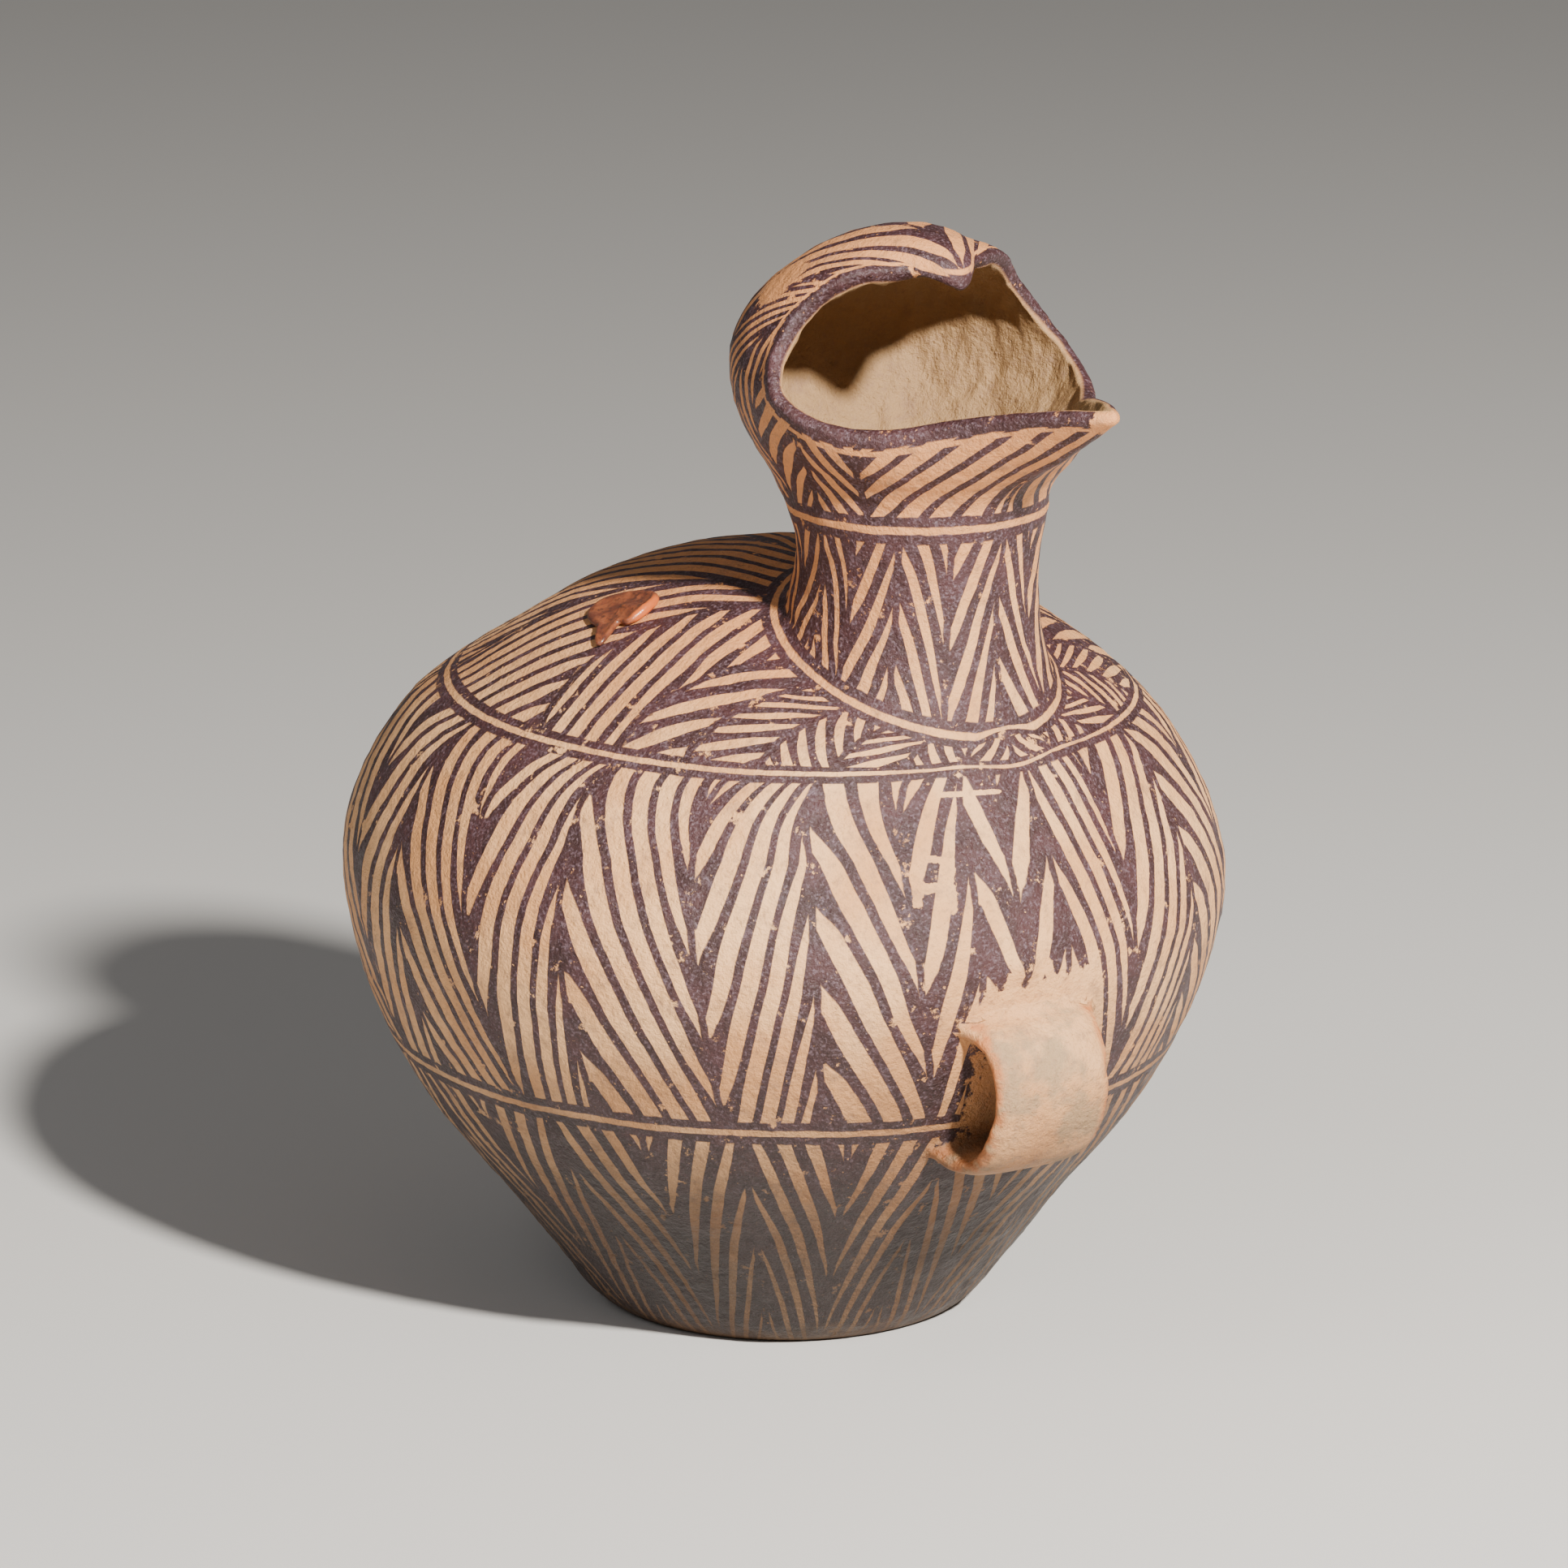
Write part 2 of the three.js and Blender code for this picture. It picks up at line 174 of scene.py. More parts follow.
# Painted spines. Each row: turns at the knot heights, then tip height, stripe period and stripe level
BELLY_KNOTS = [-35, -5, 35, 57]
BELLY_SPINES = [
    [-28.5, -28, -29, -31.5, 16, 15, 0],
    [-13.2, -12.4, -13, -14.5, 19, 23.5, 4.36],
    [0, -0.5, -0.5, -1.5, 14, 24, 0],
    [7, 6.3, 6.2, 5.5, 14, 31, 1.36],
    [12.5, 12.5, 12.3, 12, 10, 26, 0],
    [17.5, 20.6, 21.5, 22, 18, 24, 2.36],
    [33, 34, 34, 36.8, 9, 20.5, -1],
    [46.6, 48.5, 50, 51.5, 25, 21, 4.36],
    [65, 66.8, 67.6, 70.5, 11.5, 23, -1],
    [77.5, 81.2, 83.5, 85.5, 5.5, 24.5, 3.36],
    [93, 96.5, 99.2, 102.5, 10.5, 21.5, -1],
    [106, 109.3, 113, 116, 12, 23, 2.36],
    [125, 127, 130, 134, 10, 21, -1],
]
BELLY_REST = 11
BELLY_REST_ROWS = [[12, 23, 3.36], [10, 21, -1]]
NECK_KNOTS = [5, 25, 45]
NECK_SPINES = [
    [-29, -24.5, -22, 20, 20, 2.36],
    [0.5, -0.7, -2.5, 24, 16, 0],
    [28, 25, 23.5, 16, 19, 2.36],
    [51, 49, 47, 19, 16, 0],
    [75, 72, 68, 14, 18, 2.36],
    [94, 89, 86, 13, 15, 0],
    [111, 107, 105, 15, 18, 2.36],
]
NECK_REST = 7
NECK_REST_ROWS = [[16, 18, 0], [14, 18, 2.36]]
LOWER_KNOTS = [-55, 14]
LOWER_FIRST, LOWER_SPACING, LOWER_LEAN = 13, 15, 1
LOWER_TIP, LOWER_STRIPE, LOWER_LEVELS = 6, 27, [0, 3.7]
HOOD_KNOTS = [0, 17, 33]
HOOD_SIDE_SPINES = [
    [60, 53, 47, 0, 7.5, 0.4],
    [88, 72, 66, 0, 9, -2.4],
    [104, 98, 96, 0, 9, 0],
    [124, 120, 118, 0, 11, -2.3],
    [146, 143, 142, 0, 12, 1.6],
]
HOOD_BEAK_SPINE = [0, 0, 0, 0, 60, -3.6]
HOOD_BACK_SPINE = [180, 180, 180, 0, 20, -0.6]
SHOULDER_SPINES = [[72, 97], [88, 131], [130.5, 143]]
SHOULDER_BACK_SPINE = [180, 180]
SHOULDER_LEANS = [37, -5, 50, 75]
SHOULDER_STRIPE = 5.9
BREAST_STEPS, BREAST_SPACING, BREAST_SPREAD = 5, 12, 1.35
BREAST_ZIGZAG, BREAST_STRIPE = 19, 7.5
CELL_BEND = 0.3
STRIPE_DARK, LOWER_DARK = 0.35, 0.5

# Bare scratches and flakes on the belly: turn and height above the widest ring at both ends, half width
BARE_STROKES = [
    [15.4, 21, 15.2, 34, 1.3], [20.2, 23, 20, 32, 1.3], [15.4, 27.5, 20.2, 27, 1.4],
    [15, 33.5, 18.5, 35, 1.0], [5, 50, 17, 51.5, 0.7], [5, -22, 5, -36, 15], [-3, -7, 10, -8, 7.5],
    [-5, -3, -4, 0, 2.0], [2, -2, 3, 4, 1.8], [8, -2, 8.5, 2, 1.8],
]
# Bare places elsewhere: middle and radius
BARE_SPOTS = [
    [-52, -60, 166, 5], [-46, -66, 168, 3.5], [-58, -52, 165, 3], [-30, -36.5, 283.5, 8],
    [-22, -95, 252, 1.6], [-33, -78, 248, 3], [0, -130.5, 258, 4.5],
]

# The brush: how far it wanders and trembles, and where each kind of stroke ends, from solid to clear
BRUSH_WANDER, BRUSH_TREMBLE, EDGE_TREMBLE, LINE_TREMBLE = 0.22, 0.06, 1.2, 1.0
STRIPE_EDGE = 0.018
SPINE_EDGE = [0.8, 1.2]
SPINE_SWELL, SPINE_SWELL_EDGE = 0.17, [0.5, 7.0]
BAND_EDGE, BAND_GAP = [3.5, 4.0], [0.8, 1.2]
RIM_EDGE, RIM_LINE, RIM_GAP = [1.8, 2.4], 3.5, [0.5, 1.0]
PAINT_COVER = 0.975
FOOT_BARE = [-128, -112]
# Painted shade: the body's colour darkens towards the foot, standing for shade low on the body, with some
# grime too
PAINTED_FOOT_SHADE_SHARE, PAINTED_FOOT_SHADE_RISE = 0.84, [-125, -12]

# Colours as screen values
CLAY_LIGHT = (236, 182, 128)
CLAY_DEEP = (214, 152, 98)
CLAY_ORANGE = (212, 144, 90)
CLAY_SANDY = (160, 126, 86)
CLAY_SHADE = (140, 108, 86)
CLAY_GREY = (168, 142, 108)
CLAY_RIDGE = (204, 128, 74)
PAINT = (40, 19, 27)
PAINT_THIN = (66, 37, 44)
# Lilac-grey laid over the paint: partly its own speckle, partly painted sheen standing in for highlights
LILAC_SPECKLE_AND_PAINTED_SHEEN = (128, 108, 120)
# Dark colour for grime specks, and for the painted shade darkening the body towards the foot
SOOT_AND_PAINTED_SHADE = (38, 30, 26)
WAX_DEEP = (96, 52, 38)
WAX_BROWN = (138, 76, 48)
WAX_DARK = (70, 42, 34)
WAX_BRIGHT = (190, 92, 42)
FLOOR_TONE = (204, 202, 199)
WORLD_TONE = (222, 220, 218)

# Camera and studio, in metres and degrees. Lights: name, azimuth, elevation, distance, size, power and tint
CAMERA_AZIMUTH = -38.0
CAMERA_ELEVATION = 14.5
CAMERA_DISTANCE = 2.2
CAMERA_LENS = 191.37
CAMERA_SENSOR = 36
CAMERA_TARGET = Vector((-0.00025, 0.0002, 0.1387))
FLOOR_HALF = 4000
FLOOR_ROUGHNESS = 0.9
WORLD_STRENGTH = 0.18
LIGHTS = [
    ["key", -8, 36, 1.9, 0.14, 108, (1.0, 0.96, 0.9)],
    ["fill", -85, 40, 2.2, 1.2, 8, (0.97, 0.97, 1.0)],
]


def mix(a, b, t):
    return a + (b - a) * t


def point(forward, side, height):
    return np.stack(np.broadcast_arrays(-side, -forward, height), -1)


def unit(vectors):
    return vectors / np.linalg.norm(vectors, axis=-1, keepdims=True)


def vessel_rings():
    """Front point's and back point's distance forward and height, foot to neck."""
    rings = []
    for inward, up in FOOT_ROUND:
        radius = BASE_RADIUS - inward * FOOT_EDGE
        rings.append([radius, up * FOOT_EDGE, -radius, up * FOOT_EDGE])
    for out, up in FLANK:
        radius = mix(BASE_RADIUS, BELLY_RADIUS, out)
        rings.append([radius, up * BELLY_HEIGHT, -radius, up * BELLY_HEIGHT])
    front, back = NECK_FORWARD + NECK_BASE_RADIUS, NECK_FORWARD - NECK_BASE_RADIUS
    low, high = NECK_BASE_HEIGHT - NECK_BASE_TIP, NECK_BASE_HEIGHT + NECK_BASE_TIP
    for (front_in, front_up), (back_in, back_up) in zip(BREAST, BACK):
        rings.append([
            mix(BELLY_RADIUS, front, front_in), mix(BELLY_HEIGHT, low, front_up),
            mix(-BELLY_RADIUS, back, back_in), mix(BELLY_HEIGHT, high, back_up),
        ])
    for i in range(NECK_STEPS + 1):
        up = i / NECK_STEPS
        swell = (NECK_BASE_RADIUS - NECK_WAIST_RADIUS) * (1 - up) ** 3
        radius = NECK_WAIST_RADIUS + swell + (NECK_TOP_RADIUS - NECK_WAIST_RADIUS) * up**3
        rings.append([
            NECK_FORWARD + radius, mix(low, NECK_TOP_HEIGHT, up),
            NECK_FORWARD - radius, mix(high, NECK_TOP_HEIGHT, up),
        ])
    return np.array(rings, float)


RINGS = vessel_rings()
FOOT_RING = len(FOOT_ROUND)
LAST_RING = len(RINGS) - 1


def cubic(start, end, leave, arrive, t):
    """Curve from start to end that leaves and arrives with these slopes."""
    bend = 3 * (end - start) - 2 * leave - arrive
    return start + t * (leave + t * (bend + t * (2 * (start - end) + leave + arrive)))


def vessel(place, turn):
    """The outside, at a place counted in rings and a turn in radians."""
    place, turn = np.broadcast_arrays(np.asarray(place, float), np.asarray(turn, float))
    i = np.clip(np.floor(place).astype(int), 0, LAST_RING - 1)
    before, start, end, after = [RINGS[np.clip(i + k, 0, LAST_RING)] for k in (-1, 0, 1, 2)]
    at = cubic(start, end, (end - before) * 0.5, (after - start) * 0.5, (place - i)[..., None])
    share = (1 - np.cos(turn)) / 2
    side = (at[..., 0] - at[..., 2]) / 2 * np.sin(turn)
    return point(mix(at[..., 0], at[..., 2], share), side, mix(at[..., 1], at[..., 3], share))


def rim(turn):
    """The rim's outer edge."""
    degrees = np.degrees(turn)
    first, last = RIM[1] * [-1, 1, -1, 1], RIM[-2] * [-1, 1, -1, 1] + [360, 0, 0, 0]
    table = np.vstack([first, RIM, last])
    wanted = np.abs(degrees)
    i = np.clip(np.searchsorted(table[:, 0], wanted, side="left") - 1, 1, len(table) - 3)
    before, start, end, after = [table[i + k] for k in (-1, 0, 1, 2)]
    span = end[..., :1] - start[..., :1]
    t = (wanted[..., None] - start[..., :1]) / span
    leave = (end - before) / (end[..., :1] - before[..., :1]) * span
    arrive = (after - start) / (after[..., :1] - start[..., :1]) * span
    at = cubic(start, end, leave, arrive, t)
    return point(NECK_FORWARD + at[..., 1], np.sign(degrees) * at[..., 2], NECK_TOP_HEIGHT + at[..., 3])


def hood(up, turn):
    """The hood's outside: up = 0 is the neck's top ring and up = 1 the rim."""
    up, turn = np.broadcast_arrays(np.asarray(up, float), np.asarray(turn, float))
    centre = point(NECK_FORWARD, 0.0, NECK_TOP_HEIGHT + HEAD_RISE)
    low = vessel(np.full_like(turn, LAST_RING), turn) - centre
    high = rim(turn) - centre
    low_reach, high_reach = np.linalg.norm(low, axis=-1), np.linalg.norm(high, axis=-1)
    low, high = unit(low), unit(high)
    lean = HOOD_LEAN * ((1 - np.cos(turn)) / 2) ** 2
    middle = unit(low + high + point(-lean, 0 * lean, -HOOD_LEAN_DROP * lean))
    share = up[..., None]
    ray = unit(low * (1 - share) ** 2 + middle * 2 * share * (1 - share) + high * share**2)
    rise = np.where(ray[..., 2] > 0, HOOD_UP, HOOD_DOWN)
    across, along, upward = ray[..., 0] / HOOD_SIDE, ray[..., 1] / HOOD_BACK, ray[..., 2] / rise
    shell = 1 / np.sqrt(along**2 + across**2 + upward**2)
    reach = mix(mix(shell, high_reach, up**RIM_PULL), low_reach, (1 - up) ** NECK_PULL)
    return ray * reach[..., None] + centre


def normal_of(surface, u, v, du, low, high):
    upward = surface(np.minimum(high, u + du), v) - surface(np.maximum(low, u - du), v)
    around = surface(u, v + SMALL_TURN) - surface(u, v - SMALL_TURN)
    return unit(np.cross(upward, around))


def vessel_normal(place, turn):
    return normal_of(vessel, place, turn, SMALL_RING, FOOT_RING, LAST_RING)


def hood_normal(up, turn):
    return normal_of(hood, up, turn, SMALL_UP, 0.0, 1.0)


def head_wall(up, turn):
    beak = np.maximum(0, np.cos(turn)) ** BEAK_NARROWNESS * up
    return mix(mix(BODY_WALL, HEAD_WALL, np.minimum(1, up / HEAD_WALL_REACHED)), BEAK_WALL, beak)[..., None]


def column_turns():
    even = np.arange(COLUMNS) / COLUMNS * 2 * np.pi
    turns = even - COLUMN_CROWD * np.sin(2 * even)
    return np.where(even > np.pi, turns - 2 * np.pi, turns)


TURNS = column_turns()


def outer_places():
    """Places of the rows from the foot to the neck's top, with every ring on a row."""
    places = list(FOOT_PLACES)
    for ring in range(FOOT_RING, LAST_RING):
        length = np.linalg.norm(vessel(ring + 1.0, MEASURED_TURN) - vessel(ring + 0.0, MEASURED_TURN))
        count = max(2, math.ceil(length / ROW_STEP))
        places += [ring + k / count for k in range(count)]
    return np.array(places + [float(LAST_RING)])


def outside_rows():
    places = outer_places()
    rows = list(vessel(places[:, None], TURNS[None, :]))
    rows += [hood(i / HOOD_ROWS, TURNS) for i in range(1, HOOD_ROWS + 1)]
    return places, rows


def lip_rows():
    edge, normal = hood(1.0, TURNS), hood_normal(np.ones_like(TURNS), TURNS)
    away = unit(edge - hood(1 - LIP_STEP, TURNS))
    wall = head_wall(1.0, TURNS)
    rows = []
    for i in range(1, LIP_ROWS + 1):
        angle = i / (LIP_ROWS + 1) * math.pi
        rows.append(edge - normal * (1 - math.cos(angle)) / 2 * wall + away * math.sin(angle) * LIP_BULGE)
    return rows


def inside_rows():
    rows = []
    for i in range(INNER_HOOD_ROWS, 0, -1):
        up = np.full_like(TURNS, i / INNER_HOOD_ROWS)
        rows.append(hood(up, TURNS) - hood_normal(up, TURNS) * head_wall(up, TURNS))
    for ring in range(LAST_RING, FOOT_RING, -1):
        length = np.linalg.norm(vessel(ring + 0.0, MEASURED_TURN) - vessel(ring - 1.0, MEASURED_TURN))
        count = max(1, math.ceil(length / INNER_ROW_STEP))
        for k in range(count):
            place = np.full_like(TURNS, ring - k / count)
            rows.append(vessel(place, TURNS) - vessel_normal(place, TURNS) * BODY_WALL)
    for share, rise in INNER_FLOOR:
        radius = share * (BASE_RADIUS - BODY_WALL)
        rows.append(point(radius * np.cos(TURNS), radius * np.sin(TURNS), FLOOR + rise))
    return rows


def fan_body(rows, first, last):
    """Corners and faces of a closed body from rows of points, fanned shut at both ends."""
    count = len(rows[0])
    corners = np.vstack([first, *rows, last])
    faces = []
    end = len(corners) - 1
    for j in range(count):
        k = (j + 1) % count
        faces.append((0, 1 + j, 1 + k))
        faces.append((end, end - count + k, end - count + j))
    for i in range(len(rows) - 1):
        low, high = 1 + i * count, 1 + (i + 1) * count
        faces += [(low + j, high + j, high + (j + 1) % count, low + (j + 1) % count) for j in range(count)]
    return corners, faces


def new_mesh(name, corners, faces):
    mesh = bpy.data.meshes.new(name)
    mesh.from_pydata((corners * MM).tolist(), [], faces)
    mesh.polygons.foreach_set("use_smooth", [True] * len(mesh.polygons))
    piece = bpy.data.objects.new(name, mesh)
    bpy.context.scene.collection.objects.link(piece)
    return piece


def rough(points, size, seed, depth=3):
    """Smooth noise from -1 to 1 at each point, with lumps of about this size."""
    shift = Vector((seed * 17.3, seed * 5.1, seed * 9.7))
    return np.array([noise.fractal(Vector(p) / size + shift, 0.6, 2.0, depth) for p in points])


def spine_cells(turn, height, spines, knots):
    """Cell between painted spines: its two spines, the share across it, and its width in degrees."""
    turns = np.array([row[:len(knots)] for row in spines], float)
    at = np.stack([np.interp(height, knots, row) for row in turns])
    start = at[0]
    turned = start + np.mod(turn - start, 360)
    left = (turned[None] >= at).sum(0) - 1
    following = np.vstack([at[1:], at[:1] + 360])
    here = np.take_along_axis(at, left[None], 0)[0]
    there = np.take_along_axis(following, left[None], 0)[0]
    share = (turned - here) / (there - here)
    return left, (left + 1) % len(spines), share, there - here


def spine_phase(turn, height, spines, knots, bend=CELL_BEND):
    """Stripe phase, cell place and cell width of a band of nested chevrons."""
    left, right, share, width = spine_cells(turn, height, spines, knots)
    rows = np.array([row[len(knots):] for row in spines], float)
    phase = [(height - rows[k, 0]) / rows[k, 1] + rows[k, 2] for k in (left, right)]
    eased = share + bend * share * (1 - share)
    return mix(phase[0], phase[1], eased), left + share, width


def closed_ring(spines, rest, up_row, down_row):
    """The spines that show, and evenly spaced ones round the hidden side."""
    last, first = np.array(spines[-1]), np.array(spines[0])
    turns = len(first) - len(up_row)
    rows = [list(row) for row in spines]
    for k in range(1, rest + 1):
        share = k / (rest + 1)
        spread = mix(last[:turns], first[:turns] + 360, share)
        rows.append([*spread, *(up_row if k % 2 else down_row)])
    return rows


def lower_spines():
    """Plain spines all round the lower body."""
    rows = []
    for k in range(360 // LOWER_SPACING):
        turn = LOWER_FIRST + k * LOWER_SPACING
        rows.append([turn, turn + LOWER_LEAN, LOWER_TIP, LOWER_STRIPE, LOWER_LEVELS[k % 2]])
    return rows


def hood_spines():
    """The right side's spines and their mirror image on the left."""
    left = [[360 - row[0], 360 - row[1], 360 - row[2], *row[3:]] for row in reversed(HOOD_SIDE_SPINES)]
    return [HOOD_BEAK_SPINE, *HOOD_SIDE_SPINES, HOOD_BACK_SPINE, *left]


def shoulder_spines():
    """Turns at the shoulder line and at the neck ring."""
    steps = range(-BREAST_STEPS, BREAST_STEPS + 1)
    front = [[step * BREAST_SPACING, step * BREAST_SPACING * BREAST_SPREAD] for step in steps]
    left = [[360 - low, 360 - high] for low, high in reversed(SHOULDER_SPINES)]
    return [*front, *SHOULDER_SPINES, SHOULDER_BACK_SPINE, *left]


def shoulder_phase(turn, share_up, height, spots):
    """Small chevrons on the breast, and long straight stripes over the shoulders."""
    spines = shoulder_spines()
    left, _, share, width = spine_cells(turn, share_up, spines, [0, 1])
    place = left + share
    middle = spines.index(SHOULDER_BACK_SPINE)
    folded = np.where(place > middle, 2 * middle - place, place)
    cell = np.floor(folded).astype(int) - (middle - len(SHOULDER_LEANS))
    zigzag = np.abs(2 * np.mod(place / 2, 1) - 1)
    small = (height + BREAST_ZIGZAG * zigzag) / BREAST_STRIPE
    lean = np.radians(np.array(SHOULDER_LEANS)[np.clip(cell, 0, len(SHOULDER_LEANS) - 1)])
    across, along = -np.abs(spots[:, 0]), spots[:, 1]
    long = (across * np.sin(lean) + along * np.cos(lean)) / SHOULDER_STRIPE
    return np.where(cell < 0, small, long), place, width


def line_arcs(heights, arc, height, tip):
    """Each column's length up to a line at this height, which tips up behind."""
    levels = height - tip * np.cos(TURNS)
    return np.array([np.interp(level, heights[:, j], arc[:, j]) for j, level in enumerate(levels)])


def zone_phase(number, turn, height, share_up, spots):
    """Stripe phase, cell place and cell width in one zone, counted from the foot."""
    if number == 0:
        return spine_phase(turn, height, lower_spines(), LOWER_KNOTS, 0)
    if number == 1:
        belly = closed_ring(BELLY_SPINES, BELLY_REST, *BELLY_REST_ROWS)
        return spine_phase(turn, height, belly, BELLY_KNOTS)
    if number == 2:
        return shoulder_phase(turn, share_up, height, spots)
    if number == 3:
        neck = closed_ring(NECK_SPINES, NECK_REST, *NECK_REST_ROWS)
        return spine_phase(turn, height, neck, NECK_KNOTS)
    return spine_phase(turn, height, hood_spines(), HOOD_KNOTS, 0)


def paint_plan(places, rows):
    """Per outside point: stripe phase, distance from a spine, place among the bands and dark share."""
    grid = np.array(rows)
    steps = np.linalg.norm(np.diff(grid, axis=0), axis=-1)
    arc = np.vstack([np.zeros(COLUMNS), np.cumsum(steps, axis=0)])
    turn = np.broadcast_to(np.degrees(TURNS), arc.shape)
    rings = (FLANK_RING, BELLY_RING, NECK_RING)
    flank, belly, neck = [int(np.argmin(np.abs(places - ring))) for ring in rings]
    top = len(places) - 1
    heights = grid[..., 2]
    lines = [
        line_arcs(heights[:top + 1], arc[:top + 1], LOWER_LINE, LOWER_LINE_TIP),
        line_arcs(heights[:neck + 1], arc[:neck + 1], SHOULDER_LINE, SHOULDER_LINE_TIP),
        arc[neck],
        arc[top],
    ]
    band = sum(np.clip((arc - line) / BAND_REACH, -0.5, 0.5) for line in lines) + 0.5
    zone = sum((arc >= line).astype(int) for line in lines)
    starts = [arc[flank], arc[belly], lines[2], lines[2], lines[3]]
    share_up = (arc - lines[1]) / (lines[2] - lines[1])
    phase, cell, width = [np.zeros(arc.shape) for _ in range(3)]
    for number, start in enumerate(starts):
        here = zone == number
        found = zone_phase(number, turn[here], (arc - start)[here], share_up[here], grid[here])
        phase[here], cell[here], width[here] = found
    gaps = np.linalg.norm(np.roll(grid, -1, 1) - np.roll(grid, 1, 1), axis=-1)
    turned = np.mod(np.roll(turn, -1, 1) - np.roll(turn, 1, 1), 360)
    spine = np.sin(np.pi * cell) / np.pi * width * gaps / turned
    dark = np.where(zone == 0, LOWER_DARK, STRIPE_DARK)
    rise = arc - arc[belly]
    bare = bare_places(grid, rise)
    return {"stripe": phase, "spine": spine, "band": band, "dark": dark, "rise": rise, "bare": bare}


def bare_places(grid, rise):
    """One at the middle of a scratch or flake, a half at its edge."""
    per_degree = math.radians(BELLY_RADIUS)
    turn = np.broadcast_to(np.degrees(TURNS), rise.shape) * per_degree
    bare = np.zeros(rise.shape)
    for turn_a, rise_a, turn_b, rise_b, half in BARE_STROKES:
        a = np.array([turn_a * per_degree, rise_a])
        step = np.array([(turn_b - turn_a) * per_degree, rise_b - rise_a])
        along = np.clip(((turn - a[0]) * step[0] + (rise - a[1]) * step[1]) / (step @ step), 0, 1)
        away = np.hypot(turn - a[0] - along * step[0], rise - a[1] - along * step[1])
        bare = np.maximum(bare, 1 - away / half / 2)
    for *middle, radius in BARE_SPOTS:
        bare = np.maximum(bare, 1 - np.linalg.norm(grid - middle, axis=-1) / radius / 2)
    return bare


def strap():
    """The handle: a flat oval section carried from its upper root out and down to its lower root."""
    turn = math.radians(HANDLE_TURN)
    ring_places = np.linspace(FOOT_RING, FOOT_RING + len(FLANK) + 3, HANDLE_SAMPLES)
    heights = vessel(ring_places, 0.0)[:, 2]
    path = []
    reach = 4 / 3 * (HANDLE_REACH + HANDLE_THICK / 2)
    for height in (HANDLE_TOP, HANDLE_BOTTOM):
        place = np.interp(height, heights, ring_places)
        spot, normal = vessel(place, turn), vessel_normal(place, turn)
        path.append([spot - normal * HANDLE_SINK, spot + normal * reach])
    a, b, c, d = path[0][0], path[0][1], path[1][1], path[1][0]
    across = np.array([-math.cos(turn), math.sin(turn), 0])
    rows = []
    angles = np.arange(STRAP_SIDES) / STRAP_SIDES * 2 * np.pi
    for i in range(STRAP_STEPS + 1):
        t = i / STRAP_STEPS
        spot = a * (1 - t) ** 3 + b * 3 * t * (1 - t) ** 2 + c * 3 * t**2 * (1 - t) + d * t**3
        tangent = (b - a) * (1 - t) ** 2 + (c - b) * 2 * t * (1 - t) + (d - c) * t**2
        outward = unit(np.cross(across, tangent))
        flare = 1 + (HANDLE_ROOT_FLARE - 1) * abs(2 * t - 1) ** HANDLE_FLARE_START
        level, upright = np.cos(angles), np.sin(angles)
        wide = np.sign(level) * np.abs(level) ** HANDLE_SQUARENESS * HANDLE_WIDTH / 2 * flare
        thick = np.sign(upright) * np.abs(upright) ** HANDLE_FLATNESS * HANDLE_THICK / 2 * flare
        section = spot + across * wide[:, None] + outward * thick[:, None]
        wear = rough(section, HANDLE_WEAR_SIZE, seed=31, depth=2) * HANDLE_WEAR * np.abs(level)
        rows.append(section + across * (wear * np.sign(level))[:, None])
    return fan_body(rows, a, d)


def relief(points, inside):
    """How far the hand-built surface stands off its even shape, in millimetres."""
    from_wax = np.linalg.norm(points - vessel(WAX_RING, math.radians(WAX_TURN)), axis=1)
    calm = np.clip(from_wax / WAX_LENGTH - CALM_ROUND_WAX, 0, 1)
    swell = SWELL * rough(points, SWELL_SIZE, seed=1, depth=2) * calm
    drag = DRAG * rough(points * DRAG_STRETCH, DRAG_SIZE, seed=2) * calm
    low = np.clip((PITS_TOP - points[:, 2]) / PITS_FADE, 0, 1)
    pits = -PIT_DEPTH * low * np.clip(rough(points, PIT_SIZE, seed=3, depth=2) - PIT_LEVEL, 0, 1)
    lump = np.exp(-(((points - LUMP_SPOT) / LUMP_SIZE) ** 2).sum(1)) * LUMP_RISE
    ripple = INNER_RIPPLE * rough(points * INNER_STRETCH, INNER_RIPPLE_SIZE, seed=4)
    inner = ripple + INNER_LUMPS * rough(points, INNER_LUMP_SIZE, seed=6)
    return np.where(inside, swell * INNER_SWELL + inner, swell + drag + pits + lump)


def put(mesh, name, values):
    mesh.attributes.new(name, "FLOAT", "POINT").data.foreach_set("value", np.asarray(values, np.float32))


def corner_array(mesh):
    flat = np.empty(len(mesh.vertices) * 3, np.float32)
    mesh.vertices.foreach_get("co", flat)
    return flat.reshape(-1, 3).astype(float) / MM


def tree_of(points):
    tree = kdtree.KDTree(len(points))
    for i, spot in enumerate(points):
        tree.insert(spot, i)
    tree.balance()
    return tree


